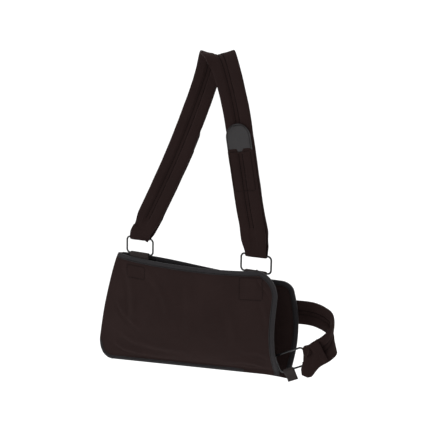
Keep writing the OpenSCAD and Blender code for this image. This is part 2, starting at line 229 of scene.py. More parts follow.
def strap_rings(path, ref, w, t, valley, seed, pucker, bare=None):
    """Rings of a padded strap along a path. w and t are its width and thickness at each point.
    bare, from 0 to 1 at each point, is how far the padding has given way to plain folded cloth."""
    n_across = 40
    s = length_along(path)
    _, wd, nm = frames(path, ref)
    full_w = float(np.max(w))
    knots = np.linspace(-1, 1, n_across + 1)
    # More sections near the edges and the two seams, where the shape turns
    base = np.sign(knots) * np.abs(knots) ** 0.9 * full_w / 2
    left = wobble(s, 34.0, seed) * 0.7
    right = wobble(s, 31.0, seed + 3) * 0.7
    swell = wobble(s, 46.0, seed + 5) * 0.05
    tucks = [wobble(s, 4.1, seed + 11 + k) for k in range(4)]
    broad = [wobble(s, 13.0, seed + 21 + k) for k in range(4)]
    if bare is None:
        bare = np.zeros(len(path))
    rings = []
    for i in range(len(path)):
        scale = w[i] / full_w
        a = base * scale
        edge = np.where(a < 0, left[i], right[i]) * (np.abs(a) / (w[i] / 2)) ** 3
        h = pad_height(base, full_w, valley)
        flat = np.sqrt(np.clip(1 - (np.abs(base) / (full_w / 2)) ** 8, 0, 1))
        h = mix(h, flat, bare[i]) * t[i] / 2 * (1 + swell[i])
        near = np.exp(-((np.abs(a) - valley / 2 * scale - 2.0) / 3.2) ** 2)
        fold = np.exp(-((w[i] / 2 - np.abs(a)) / 3.5) ** 2)
        side = (a > 0).astype(int)
        calm = 1 - 0.8 * bare[i]
        upper = h + calm * pucker * (near * (tucks[0][i] * side + tucks[1][i] * (1 - side)) * 1.5
                                     + near * (broad[0][i] + 0.4) + fold * tucks[2][i] * 0.7)
        lower = h + calm * pucker * (near * (tucks[2][i] * side + tucks[3][i] * (1 - side)) * 1.5
                                     + near * (broad[1][i] + 0.4) + fold * tucks[0][i] * 0.7)
        upper = np.maximum(upper, 0.05)
        lower = np.maximum(lower, 0.05)
        a = a + edge
        top = path[i] + np.outer(a, wd[i]) + np.outer(upper, nm[i])
        under = (path[i] + np.outer(a, wd[i]) - np.outer(lower, nm[i]))[::-1]
        rings.append(np.concatenate([top[1:-1], under[1:-1]]))
    across = np.concatenate([base[1:-1], 2 * full_w - base[::-1][1:-1]])
    return rings, across, s


def foam_strips(name, path, ref, w, t, valley):
    """The two foam strips sealed inside a strap, as one piece."""
    _, wd, nm = frames(path, ref)
    parts = []
    inner, outer = valley / 2 + 3.2, w / 2 - 4.2
    mid, half = (inner + outer) / 2, (outer - inner) / 2
    angle = np.linspace(0, 2 * math.pi, 20, endpoint=False)
    ring_a = np.sign(np.cos(angle)) * np.abs(np.cos(angle)) ** 0.5 * half
    ring_h = np.sign(np.sin(angle)) * np.abs(np.sin(angle)) ** 0.5 * (t / 2 - 1.4)
    for side in (-1, 1):
        rings = [path[i] + np.outer(side * mid + ring_a, wd[i]) + np.outer(ring_h, nm[i])
                 for i in range(len(path))]
        parts.append(tube(rings, ring_a, length_along(path)))
    return mesh_object(name, *joined(parts))


def stitches(name, runs, length, thread, gap=0.9):
    """Rows of stitches as one mesh. Each run is (points, normals) in millimetres, lying on a surface."""
    length, r = length / MM, thread / MM / 2
    # (along, across, up) of one stitch: a bowed capsule whose ends dip into the cloth
    span = [(-0.5, 0.5, -0.9), (-0.38, 1.0, 0.15), (0.0, 1.1, 0.75), (0.38, 1.0, 0.15), (0.5, 0.5, -0.9)]
    sides = 6
    points, faces = [], []
    for path, normals in runs:
        path, normals = np.asarray(path, float), np.asarray(normals, float)
        s = length_along(path)
        count = int(s[-1] // (length + gap))
        for q in range(count):
            c = (q + 0.5) * (length + gap) + 0.5 * (s[-1] - count * (length + gap))
            at = np.array([np.interp(c, s, path[:, k]) for k in range(3)])
            ahead = np.array([np.interp(min(c + 1.5, s[-1]), s, path[:, k]) for k in range(3)])
            back = np.array([np.interp(max(c - 1.5, 0), s, path[:, k]) for k in range(3)])
            up = unit(np.array([np.interp(c, s, normals[:, k]) for k in range(3)]))
            d = unit(ahead - back)
            side = unit(np.cross(d, up))
            up = np.cross(side, d)
            base = len(points)
            for f, wide, lift in span:
                for k in range(sides):
                    an = 2 * math.pi * k / sides
                    points.append(at + d * f * length + side * math.cos(an) * r * wide
                                  + up * (math.sin(an) * r * wide + lift * r))
            for i in range(len(span) - 1):
                for k in range(sides):
                    a, b = base + i * sides + k, base + i * sides + (k + 1) % sides
                    faces.append((a, a + sides, b + sides, b))
            faces.append(tuple(base + k for k in range(sides)))
            faces.append(tuple(base + (len(span) - 1) * sides + k for k in range(sides - 1, -1, -1)))
    return mesh_object(name, np.array(points), faces)


def seam_run(path, ref, a, h, first=0.0, last=1.0):
    """A stitch run at a across a strap and h off its middle, from first to last along it."""
    i0, i1 = int(first * (len(path) - 1)), int(last * (len(path) - 1)) + 1
    _, wd, nm = frames(path, ref)
    h = np.broadcast_to(h, len(path))
    line = path + wd * a + nm * h[:, None]
    return line[i0:i1], (nm * np.sign(h)[:, None])[i0:i1]


# ---- The pouch's shape ----

def cut_in(h, r):
    """How far a round corner of radius r has cut in from its side at height h."""
    return np.where(h >= r, 0.0, r - np.sqrt(np.maximum(0.0, r * r - (r - h) ** 2)))


def edge_left(v):
    """Where the fold at the elbow end lies, at v up the pouch."""
    return -226 - 64 * (1 - v) ** 0.8 + cut_in(v * POUCH_H, 40)


def seam_z(x):
    """Height of the bottom seam."""
    return -598 + (x + 250) * 0.085


def bulge(v):
    """How far out the front panel swells, from 0 to 1, at v up the pouch."""
    return np.maximum(0.0, np.sin(math.pi * (np.maximum(0.0, v - 0.05) / 0.95) ** 0.62)) ** 1.2


def front_top(x):
    """Height of the front panel's top edge, which sags from the fold to the wrist ring."""
    return -378 - 10 * np.abs(np.sin(math.pi * np.clip((x + 226) / 310, 0, 1))) ** 0.6


def front_right(v):
    """Where the front panel's hand edge lies, at v up the pouch."""
    return 130 - cut_in((1 - v) * POUCH_H, 50)


def front_base(u, v):
    """The front panel before its creases: u runs to the hand end and v up."""
    x = mix(edge_left(v), front_right(v), u)
    y = (-mix(1.7, 6.2, smooth((v - 0.06) / 0.5)) - FRONT_BULGE * bulge(v) * smooth(u / 0.5 + 0.12)
         - 4 * u ** 6 * (1 - smooth(v / 0.2)))
    return np.stack([x, y, mix(seam_z(x), front_top(x), v)], axis=-1)


def back_base(u, v):
    """The back panel before its creases."""
    x = mix(edge_left(v), 142 - 9 * v + 10 * (1 - smooth(v / 0.12)) - cut_in((1 - v) * POUCH_H, 20), u)
    lift = smooth(v / 0.12)
    y = (mix(1.7, 5, smooth((v - 0.06) / 0.3)) + u ** 0.8
         * (lift * (4 + 27 * np.sqrt(v) + BACK_BULGE * np.sin(math.pi * v)) + 4 * u ** 6 * (1 - lift)))
    return np.stack([x, y, mix(seam_z(x) - 8 * u ** 8, mix(-379, -402, smooth(u)), v)], axis=-1)


# Creases of the front panel: (points in x and z, depth, half width, seed of its waver)
FRONT_CREASES = [
    ([(-250, -560), (-200, -571), (-131, -573), (-23, -573)], 2.6, 5.5),
    ([(-232, -538), (-180, -546), (-120, -549), (-50, -547)], 2.0, 6.5),
    ([(-215, -585), (-150, -587), (-90, -583)], 1.5, 4.0),
    ([(5, -560), (59, -548), (92, -549), (122, -556)], 1.9, 4.5),
    ([(-20, -575), (40, -566), (95, -568)], 1.4, 4.0),
    ([(60, -530), (95, -523), (124, -529)], 1.2, 5.0),
    ([(84, -382), (98, -398), (112, -412), (127, -428)], 2.0, 4.0),
    ([(92, -402), (108, -396), (120, -392)], 1.2, 3.2),
    ([(98, -425), (112, -447), (122, -478)], 1.3, 5.0),
    ([(-214, -392), (-196, -430), (-187, -480), (-190, -530)], 1.6, 9.0),
    ([(-172, -392), (-150, -415), (-118, -440), (-95, -480)], 1.5, 8.0),
    ([(-232, -470), (-205, -500), (-160, -520)], 1.8, 6.0),
    ([(60, -395), (30, -418), (-15, -440), (-60, -452)], 1.4, 9.0),
    ([(-70, -400), (-52, -440), (-48, -490), (-62, -540)], 1.1, 12.0),
    ([(20, -440), (48, -480), (52, -525)], 1.2, 10.0),
]
BACK_CREASES = [
    ([(-215, -400), (-190, -460), (-195, -540)], 1.6, 9.0),
    ([(110, -415), (60, -440), (-10, -455)], 1.6, 9.0),
    ([(120, -540), (60, -550), (-20, -560)], 1.6, 6.0),
    ([(-140, -410), (-110, -470), (-120, -550)], 1.4, 10.0),
    ([(-30, -420), (10, -490), (0, -560)], 1.3, 11.0),
]


def creased(p, creases):
    """How far outward, in mm, the creases and the cloth's own slackness move each point of a panel."""
    xz = p[..., [0, 2]].reshape(-1, 2)
    out = np.zeros(len(xz))
    for number, (line, depth, half) in enumerate(creases):
        line = curve([(a, 0, b) for a, b in line], 10)[:, [0, 2]]
        waver = wobble(np.arange(len(line)), 5.0, number) * half * 0.5
        line = line + np.stack([np.zeros(len(line)), waver], 1)
        best = np.full(len(xz), 1e9)
        side = np.zeros(len(xz))
        where = np.zeros(len(xz))
        for k in range(len(line) - 1):
            a, d = line[k], line[k + 1] - line[k]
            t = np.clip(((xz - a) @ d) / (d @ d), 0, 1)
            r = xz - a - t[:, None] * d
            dist = np.hypot(r[:, 0], r[:, 1])
            hit = dist < best
            best = np.where(hit, dist, best)
            side = np.where(hit, np.sign(d[0] * r[:, 1] - d[1] * r[:, 0]), side)
            where = np.where(hit, (k + t) / (len(line) - 1), where)
        signed = best * side
        fade = smooth(where / 0.25) * smooth((1 - where) / 0.3)
        ridge = np.exp(-(signed / half) ** 2) - 0.75 * np.exp(-((signed + 1.5 * half) / (0.8 * half)) ** 2)
        out += depth * fade * ridge
    return out.reshape(p.shape[:-1])


def slack(p, seed):
    """Broad softness and fine cockle of hung cloth."""
    flat = p.reshape(-1, 3)
    out = np.array([noise.noise(Vector((q[0] / 95.0, seed, q[2] / 62.0))) * 2.0
                    + noise.noise(Vector((q[0] / 30.0 + 9, seed, q[2] / 24.0))) * 0.55
                    + noise.noise(Vector((q[0] / 11.0 + 4, seed, q[2] / 8.0))) * 0.16 for q in flat])
    return out.reshape(p.shape[:-1])


def panel_points(u, v, front, depth=1.0):
    """Points of a panel's middle surface at u and v, creases included."""
    u, v = np.broadcast_arrays(np.asarray(u, float), np.asarray(v, float))
    p = front_base(u, v) if front else back_base(u, v)
    out = creased(p, FRONT_CREASES if front else BACK_CREASES) + slack(p, 1.5 if front else 6.5)
    # The cloth is held at its fold and its bottom seam, and partly by the binding
    hold = (smooth(u / 0.05) * smooth((v - 0.05) / 0.06) * mix(0.35, 1.0, smooth((1 - v) / 0.06))
            * mix(0.5, 1.0, smooth((1 - u) / 0.05)))
    p = p.copy()
    p[..., 1] += (-1 if front else 1) * out * hold * depth
    return p


def front_at(x, z, lift, depth=1.0):
    """The front panel's outer face at x and z, and its normal."""
    x, z = np.asarray(x, float), np.asarray(z, float)
    v = np.clip((z - seam_z(x)) / (front_top(x) - seam_z(x)), 0, 1)
    left, right = edge_left(v), front_right(v)
    u = np.clip((x - left) / (right - left), 0, 1)
    p = panel_points(u, v, True, depth)
    du = (panel_points(np.minimum(u + 0.004, 1), v, True, depth)
          - panel_points(np.maximum(u - 0.004, 0), v, True, depth))
    dv = (panel_points(u, np.minimum(v + 0.006, 1), True, depth)
          - panel_points(u, np.maximum(v - 0.006, 0), True, depth))
    n = unit(np.cross(du, dv))
    n = np.where(n[..., 1:2] > 0, -n, n)
    return p + n * lift, n


def rim_frames(rim, inner):
    """Outward and face directions along an edge, from points just inside it."""
    t = unit(np.gradient(rim, axis=0))
    out = rim - inner
    out = unit(out - (out * t).sum(1, keepdims=True) * t)
    return t, out, np.cross(t, out)


def tape(rim, inner, reach, half, wall, seed):
    """A tape folded round an edge, its legs reach deep. half is half of what it wraps."""
    _, out, face = rim_frames(rim, inner)
    s = length_along(rim)
    o = half + wall
    turn = np.linspace(-math.pi / 2, math.pi / 2, 9)
    flat = [(-reach, -half + 0.2), (-reach, -o + 0.25), (-reach + 0.5, -o), (-reach * 0.5, -o - 0.12)]
    flat += [(0.2 + math.cos(a) * wall * 1.1, math.sin(a) * o) for a in turn]
    flat += [(-reach * 0.5, o + 0.12), (-reach + 0.5, o), (-reach, o - 0.25), (-reach, half - 0.2)]
    flat = np.array(flat)
    ripple = wobble(s, 5.5, seed) * 0.28 + wobble(s, 21.0, seed + 2) * 0.25
    depth = wobble(s, 26.0, seed + 4) * 0.45
    rings = []
    for i in range(len(rim)):
        f = flat.copy()
        f[:, 0] += np.where(f[:, 0] < -1, depth[i], 0)
        f[:, 1] *= 1 + ripple[i] * 0.22 * (np.abs(f[:, 1]) > half)
        rings.append(rim[i] + np.outer(f[:, 0], out[i]) + np.outer(f[:, 1], face[i]))
    across = np.concatenate([[0], np.cumsum(np.hypot(*np.diff(flat, axis=0).T))])
    return tube(rings, across, s)


def tape_seam(rim, inner, reach, h):
    """The tape's stitch runs, one on each face."""
    _, out, face = rim_frames(rim, inner)
    return [(rim - out * reach + face * h * side, face * side) for side in (-1, 1)]


# ---- Materials ----

# The scale at which a band texture repeats once a metre
WAVES_PER_UNIT = 0.314


def linear(code):
    """sRGB hex to linear RGBA."""
    c = [int(code[i:i + 2], 16) / 255 for i in (0, 2, 4)]
    return [x / 12.92 if x <= 0.04045 else ((x + 0.055) / 1.055) ** 2.4 for x in c] + [1.0]


def add(tree, kind, inputs=None, **settings):
    """A node with its settings, and its inputs set to values or linked to other nodes' outputs."""
    node = tree.nodes.new(kind)
    for key, value in settings.items():
        setattr(node, key, value)
    for key, value in (inputs or {}).items():
        if isinstance(value, bpy.types.NodeSocket):
            tree.links.new(value, node.inputs[key])
        else:
            node.inputs[key].default_value = value
    return node


def new_material(name):
    """An empty material: its tree, its surface shader and its output."""
    mat = bpy.data.materials.new(name)
    mat.use_nodes = True
    tree = mat.node_tree
    tree.nodes.clear()
    shader = add(tree, "ShaderNodeBsdfPrincipled")
    add(tree, "ShaderNodeOutputMaterial", {"Surface": shader.outputs["BSDF"]})
    return mat, tree, shader


def math_node(tree, operation, a, b):
    return add(tree, "ShaderNodeMath", {0: a, 1: b}, operation=operation).outputs[0]


def noise_at(tree, where, size, detail):
    """Noise whose patches are about size across, in metres."""
    inputs = {"Vector": where, "Scale": 1 / size, "Detail": detail}
    return add(tree, "ShaderNodeTexNoise", inputs).outputs["Fac"]


def bands_at(tree, where, pitch, direction, more):
    """Bands repeating every pitch, in metres, along one direction; more holds the wave's other inputs."""
    inputs = {"Vector": where, "Scale": WAVES_PER_UNIT / pitch, **more}
    return add(tree, "ShaderNodeTexWave", inputs, bands_direction=direction).outputs["Fac"]


def tinted(tree, code, shade, light):
    """A colour that wanders between a darker and a lighter shade of one cloth."""
    base = linear(code)
    dark = [c * 0.72 for c in base[:3]] + [1]
    pale = [min(1, c * light) for c in base[:3]] + [1]
    return add(tree, "ShaderNodeMix", {0: shade, 6: dark, 7: pale}, data_type="RGBA").outputs[2]


def knit_cloth(name, code, course, nap, sheen):
    """Brushed knit. course is the loops' pitch and nap the fibres' size, in metres."""
    mat, tree, shader = new_material(name)
    where = add(tree, "ShaderNodeTexCoord").outputs["Object"]
    uv = add(tree, "ShaderNodeTexCoord").outputs["UV"]
    # Broad patches where the nap lies one way or the other
    patch = noise_at(tree, where, 0.05, 3.0)
    # Loops of the knit, in ribs along the cloth
    loose = {"Distortion": 1.2, "Detail": 1.0, "Detail Scale": 2.0}
    rib = bands_at(tree, uv, course, "X", loose)
    row = bands_at(tree, uv, course * 1.3, "Y", loose)
    loops = math_node(tree, "MULTIPLY", rib, row)
    # Raised fibres over the loops
    fibre = add(tree, "ShaderNodeTexNoise", {"Vector": where, "Scale": 1 / nap, "Detail": 4.0,
                                             "Roughness": 0.65}).outputs["Fac"]
    height = math_node(tree, "ADD", math_node(tree, "MULTIPLY", loops, 0.45), fibre)
    shade = math_node(tree, "ADD", math_node(tree, "MULTIPLY", patch, 0.55),
                      math_node(tree, "MULTIPLY", fibre, 0.45))
    bump = add(tree, "ShaderNodeBump", {"Height": height, "Strength": 0.55, "Distance": 0.0006})
    tree.links.new(tinted(tree, code, shade, 1.42), shader.inputs["Base Color"])
    tree.links.new(bump.outputs["Normal"], shader.inputs["Normal"])
    shader.inputs["Roughness"].default_value = 0.92
    shader.inputs["IOR"].default_value = 1.46
    shader.inputs["Specular IOR Level"].default_value = 0.06
    # The pale rim that standing fibres give at grazing angles
    shader.inputs["Sheen Weight"].default_value = sheen
    shader.inputs["Sheen Roughness"].default_value = 0.55
    shader.inputs["Sheen Tint"].default_value = [min(1, c * 9) for c in linear(code)[:3]] + [1]
    return mat


def ribbed_tape(name, code, pitch, direction, gloss):
    """Woven tape: ribs of the weave at that pitch in metres, crossed by finer yarns."""
    mat, tree, shader = new_material(name)
    uv = add(tree, "ShaderNodeTexCoord").outputs["UV"]
    where = add(tree, "ShaderNodeTexCoord").outputs["Object"]
    rib = bands_at(tree, uv, pitch, direction, {"Distortion": 0.4})
    yarn = bands_at(tree, uv, pitch * 0.55, "Y" if direction == "X" else "X", {"Distortion": 0.5})
    wear = noise_at(tree, where, 0.02, 4.0)
    height = math_node(tree, "ADD", rib, math_node(tree, "MULTIPLY", yarn, 0.35))
    shade = math_node(tree, "ADD", math_node(tree, "MULTIPLY", rib, 0.4),
                      math_node(tree, "MULTIPLY", wear, 0.6))
    bump = add(tree, "ShaderNodeBump", {"Height": height, "Strength": 0.5, "Distance": 0.0004})
    tree.links.new(tinted(tree, code, shade, 1.45), shader.inputs["Base Color"])
    tree.links.new(bump.outputs["Normal"], shader.inputs["Normal"])
    shader.inputs["Roughness"].default_value = gloss
    shader.inputs["IOR"].default_value = 1.54
    shader.inputs["Sheen Weight"].default_value = 0.05
    shader.inputs["Specular IOR Level"].default_value = 0.12
    return mat


def hook_tape(name, code):
    """Nylon hook tape: diagonal rows of hooks that catch the light."""
    mat, tree, shader = new_material(name)
    uv = add(tree, "ShaderNodeTexCoord").outputs["UV"]
    spin = {"Vector": uv, "Rotation": (0, 0, math.radians(38))}
    slanted = add(tree, "ShaderNodeMapping", spin).outputs["Vector"]
    rows = bands_at(tree, slanted, 0.0016, "X", {"Distortion": 0.7, "Detail": 1.0})
    hooks = add(tree, "ShaderNodeTexVoronoi", {"Vector": uv, "Scale": 1 / 0.0011}).outputs["Distance"]
    height = math_node(tree, "SUBTRACT", rows, math_node(tree, "MULTIPLY", hooks, 0.5))
    bump = add(tree, "ShaderNodeBump", {"Height": height, "Strength": 0.8, "Distance": 0.0006})
    tree.links.new(tinted(tree, code, rows, 1.5), shader.inputs["Base Color"])
    tree.links.new(bump.outputs["Normal"], shader.inputs["Normal"])
    shader.inputs["Roughness"].default_value = 0.5
    shader.inputs["IOR"].default_value = 1.53
    shader.inputs["Specular IOR Level"].default_value = 0.25
    return mat


def coated_wire(name, code):
    """Gloss black coating on steel wire, with faint rub marks."""
    mat, tree, shader = new_material(name)
    where = add(tree, "ShaderNodeTexCoord").outputs["Object"]
    rub = noise_at(tree, where, 0.004, 5.0)
    spread = {"Value": rub, "To Min": 0.16, "To Max": 0.34}
    rough = add(tree, "ShaderNodeMapRange", spread).outputs["Result"]
    bump = add(tree, "ShaderNodeBump", {"Height": rub, "Strength": 0.08, "Distance": 0.0003})
    tree.links.new(rough, shader.inputs["Roughness"])
    tree.links.new(bump.outputs["Normal"], shader.inputs["Normal"])
    shader.inputs["Base Color"].default_value = linear(code)
    shader.inputs["IOR"].default_value = 1.52
    shader.inputs["Specular IOR Level"].default_value = 0.3
    shader.inputs["Coat Weight"].default_value = 0.12
    shader.inputs["Coat Roughness"].default_value = 0.12
    return mat


def plain(name, code, roughness, grain=0.003, gloss=0.5):
    """A matt surface with a fine grain."""
    mat, tree, shader = new_material(name)
    where = add(tree, "ShaderNodeTexCoord").outputs["Object"]
    fine = noise_at(tree, where, grain, 2.0)
    bump = add(tree, "ShaderNodeBump", {"Height": fine, "Strength": 0.2, "Distance": 0.0002})
    tree.links.new(bump.outputs["Normal"], shader.inputs["Normal"])
    shader.inputs["Base Color"].default_value = linear(code)
    shader.inputs["Roughness"].default_value = roughness
    shader.inputs["Specular IOR Level"].default_value = gloss
    return mat


MADE = {}


def material(kind):
    """The material of one kind, made once."""
    c = bpy.context.scene.sling_colours
    makers = {
        "pouch": lambda: knit_cloth("brushed_knit_pouch", c.pouch, 0.0011, 0.0009, 0.16),
        "strap": lambda: knit_cloth("loop_pile_strap", c.strap, 0.0009, 0.0007, 0.2),
        "binding": lambda: ribbed_tape("ribbed_binding_tape", c.binding, 0.0011, "Y", 0.6),
        "webbing": lambda: ribbed_tape("polyester_webbing", c.webbing, 0.0014, "X", 0.7),
        "hook": lambda: hook_tape("nylon_hook_tape", c.hook),
        "wire": lambda: coated_wire("gloss_coated_wire", c.wire),
        # The thread's near-black colour is partly painted shade for the shadowed seam grooves
        "thread": lambda: plain("polyester_thread_and_painted_seam_shade", c.thread, 0.75, gloss=0.05),
        "foam": lambda: plain("open_cell_foam", "d9d2bd", 0.9),
        "floor": lambda: plain("matt_studio_floor", c.floor, 0.85),
    }
    if kind not in MADE:
        MADE[kind] = makers[kind]()
    return MADE[kind]


def dress(obj, kind):
    """Gives a piece its material."""
    obj.data.materials.clear()
    obj.data.materials.append(material(kind))
    return obj


# ---- Routes shared by several pieces ----

def neck_path():
    return curve(NECK_ROUTE)


def leaf_path(front):
    """A folded end of the neck strap: from inside its foot, round the ring bar and up its outside."""
    path = neck_path()
    if not front:
        path = path[::-1]
    _, _, nm = frames(path, X_REF)
    sign = -1 if front else 1
    ring = WRIST_RING_AT if front else ELBOW_RING_AT
    tilt = math.radians(WRIST_TILT if front else ELBOW_TILT)
    bar = ring + RING_H / 2 * np.array([math.sin(tilt), 0, math.cos(tilt)])
    # The normal points to the inside of the loop, and turns over when the path runs the other way
    outside = path - nm * LEAF_OFF * (1 if front else -1)
    arc = [bar + np.array([0, -sign * TURN_MID * math.cos(a), -TURN_MID * math.sin(a)])
           for a in np.linspace(0.0, math.pi, 15)]
    foot = [path[4], path[0], bar + np.array([0, -sign * TURN_MID, 3.0])]
    up = [bar + np.array([0, sign * (TURN_MID + 0.4), 5.6])]
    return np.concatenate([foot, arc, up, outside[LEAF_STARTS:LEAF_ENDS + 1]])


def waist_path():
    """The waist strap's middle line, from the elbow end behind the pouch to its ring."""
    back = []
    for x in (-250, -190, -120, -40, 40, 105):
        left = float(edge_left(np.array(0.6)))
        right = 142 - 9 * 0.6 + 10 * (1 - float(smooth(0.6 / 0.12)))
        u = (x - left) / (right - left)
        y = max(float(back_base(np.array(u), np.array(v))[1]) for v in (0.55, 0.65, 0.75))
        back.append((x, y + CLOTH_T / 2 + WAIST_T / 2 + 0.8, -455 - 8 * (x + 250) / 360))
    return curve(back + WAIST_LOOP, 48)


def waist_end_line():
    """Where the folded end lies over the outside of the waist strap, which it leaves towards the ring."""
    path = waist_path()
    _, _, nm = frames(path, Z_REF)
    k = np.arange(8, 81) / 8
    i = len(path) - 1 - np.arange(8, 81)
    off = WAIST_T / 2 + 1.8 + LEAF_T / 2 + 7 * (1 - smooth(k / 8)) + 3.6 * smooth((k - 2) / 5)
    return path[i] - nm[i] * off[:, None]


# ---- Operators: one for each piece or group of like pieces ----

class SLING_OT_neck_strap(bpy.types.Operator):
    """Build the padded neck strap and its sealed foam"""
    bl_idname = "sling.neck_strap"
    bl_label = "Neck strap"

    def execute(self, context):
        sizes = context.scene.sling_sizes
        path = evenly(neck_path(), sizes.step / MM)
        s = length_along(path)
        from_end = np.minimum(s, s[-1] - s)
        bare = 1 - smooth((from_end - 2) / 22)
        w = mix(STRAP_W, TURN_W, 1 - smooth(from_end / 30))
        t = mix(STRAP_T - 0.2, TURN_T, bare)
        rings, across, along = strap_rings(path, X_REF, w, t, VALLEY_W, 1, sizes.pucker / MM, bare)
        strap = dress(mesh_object("neck_strap", *tube(rings, across, along)), "strap")
        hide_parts("neck_strap_face", "neck_strap_lining")
        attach(strap, "neck_strap")
        inside = path[24:-24]
        foam = dress(foam_strips("neck_foam", inside[::3], X_REF, STRAP_W, STRAP_T, VALLEY_W), "foam")
        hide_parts("neck_foam_left", "neck_foam_right")
        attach(foam, "neck_strap")
        # Two rows of stitches down the valley, on both faces
        runs = []
        for a in (-SEAM_A, SEAM_A):
            for h in (-1.25, 1.25):
                runs.append(seam_run(path, X_REF, a, h, 0.03, 0.97))
        thread = dress(stitches("neck_seams", runs, sizes.stitch, sizes.thread), "thread")
        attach(thread, "neck_strap")
        return {"FINISHED"}


class SLING_OT_strap_ends(bpy.types.Operator):
    """Build the neck strap's two folded-back ends, with their foam and seams"""
    bl_idname = "sling.strap_ends"
    bl_label = "Strap ends"

    def execute(self, context):
        sizes = context.scene.sling_sizes
        for front in (True, False):
            name = "front" if front else "rear"
            path = evenly(relaxed(evenly(leaf_path(front), 1.0), 3), 1.6)
            s = length_along(path)
            bare = 1 - smooth((s - 38) / 26)
            top = smooth((s[-1] - s) / 5)
            w = mix(TURN_W - 1.5, STRAP_W - 2, smooth((s - 34) / 30)) * mix(0.93, 1.0, top)
            t = mix(TURN_T, LEAF_T, 1 - bare) * mix(0.45, 1.0, top)
            t = np.where(s < 20, TURN_T - 0.5, t)
            rings, across, along = strap_rings(path, X_REF, w, t, VALLEY_W, 31 if front else 47,
                                               sizes.pucker / MM, bare)
            leaf = dress(mesh_object(name + "_end", *tube(rings, across, along)), "strap")
            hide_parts(name + "_strap_end")
            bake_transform(leaf)
            body = name + "_end"
            keep = path[(s > 62) & (s < s[-1] - 8)]
            strips = foam_strips(name + "_foam", keep[::3], X_REF, STRAP_W - 2, LEAF_T, VALLEY_W)
            foam = dress(strips, "foam")
            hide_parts(name + "_end_foam")
            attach(foam, body)
            # Seams lie on both faces, because a peeled end shows both
            runs = [seam_run(path, X_REF, a, h, 0.36, 0.97)
                    for a in (-SEAM_A, SEAM_A) for h in (-0.95, 0.95)]
            # The box of stitches that holds the hook tape under this end
            low, high = 1 - 74 / s[-1], 1 - 4 / s[-1]
            for side in (-1, 1):
                runs.append(seam_run(path, X_REF, side * BOX_A, BOX_H, low, high))
                runs.append(seam_run(path, X_REF, side * BOX_A, -BOX_H, low, high))
            _, wd, nm = frames(path, X_REF)
            for f in (low, high):
                i = int(f * (len(path) - 1))
                a = np.linspace(-BOX_A, BOX_A, 30)
                for side in (-1, 1):
                    h = pad_height(a, STRAP_W - 2, VALLEY_W) * t[i] / 2 + 0.1
                    runs.append((path[i] + np.outer(a, wd[i]) + np.outer(h * side, nm[i]),
                                 np.tile(nm[i] * side, (30, 1))))
            thread = dress(stitches(name + "_end_seams", runs, sizes.stitch, sizes.thread), "thread")
            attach(thread, body)
        return {"FINISHED"}


class SLING_OT_hook_tabs(bpy.types.Operator):
    """Build the grey hook tape at the strap ends"""
    bl_idname = "sling.hook_tabs"
    bl_label = "Hook tape"

    def execute(self, context):
        sizes = context.scene.sling_sizes
        for front in (True, False):
            name = "front" if front else "rear"
            path = neck_path()
            if not front:
                path = path[::-1]
            _, _, nm = frames(path, X_REF)
            turn = 1 if front else -1
            line = evenly((path - nm * LEAF_OFF * turn)[8 * 8 + 6:11 * 8 + 1], 0.45)
            s = length_along(line)
            _, wd, nm = frames(line, X_REF)
            nm = nm * turn
            half = HOOK_W / 2
            d = s[-1] - s
            reach = np.where(d >= half, 1.0, np.sqrt(np.clip(1 - (1 - d / half) ** 2, 0, 1)))
            reach = np.maximum(reach, 0.05)
            k = np.linspace(-1, 1, 97)
            rings = []
            bow = wobble(s, 30.0, 5 if front else 6) * 0.5
            for i in range(len(line)):
                a = k * half * reach[i]
                # Rows of hooks stand along the diagonal
                ribs = 0.16 * np.sin((a * 0.62 + s[i] * 0.79) / 1.6 * 2 * math.pi)
                ribs = ribs * smooth((half * reach[i] - np.abs(a)) / 1.5)
                lift = bow[i] * (k ** 2) * 0.6
                top = line[i] + np.outer(a, wd[i]) - np.outer(0.85 + ribs + lift, nm[i])
                low = (line[i] + np.outer(a, wd[i]) + np.outer(0.85 - lift, nm[i]))[::-1]
                rings.append(np.concatenate([top, low]))
            across = np.concatenate([k * half, (k * half)[::-1] + 2 * half])
            tab = dress(mesh_object(name + "_hook", *tube(rings, across, s)), "hook")
            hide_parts(name + "_hook_tab")
            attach(tab, name + "_end")
            # A row of stitches just inside the tape's round edge
            inset = 2.6
            outline = []
            for i in range(0, len(line), 4):
                outline.append((i, -max(half * reach[i] - inset, 0)))
            for i in range(len(line) - 1, -1, -4):
                outline.append((i, max(half * reach[i] - inset, 0)))
            outline = [(i, a) for i, a in outline if d[i] > inset]
            pts = np.array([line[i] + wd[i] * a - nm[i] * 0.95 for i, a in outline])
            nrm = np.array([-nm[i] for i, a in outline])
            seam = stitches(name + "_hook_seam", [(pts, nrm)], sizes.stitch, sizes.thread)
            thread = dress(seam, "thread")
            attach(thread, name + "_end")
        return {"FINISHED"}


class SLING_OT_rings(bpy.types.Operator):
    """Finish the three wire rings"""
    bl_idname = "sling.rings"
    bl_label = "Rings"

    def execute(self, context):
        for name in ("wrist_ring", "elbow_ring", "waist_ring"):
            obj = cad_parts[name]
            obj.data.polygons.foreach_set("use_smooth", [True] * len(obj.data.polygons))
            dress(obj, "wire")
        return {"FINISHED"}


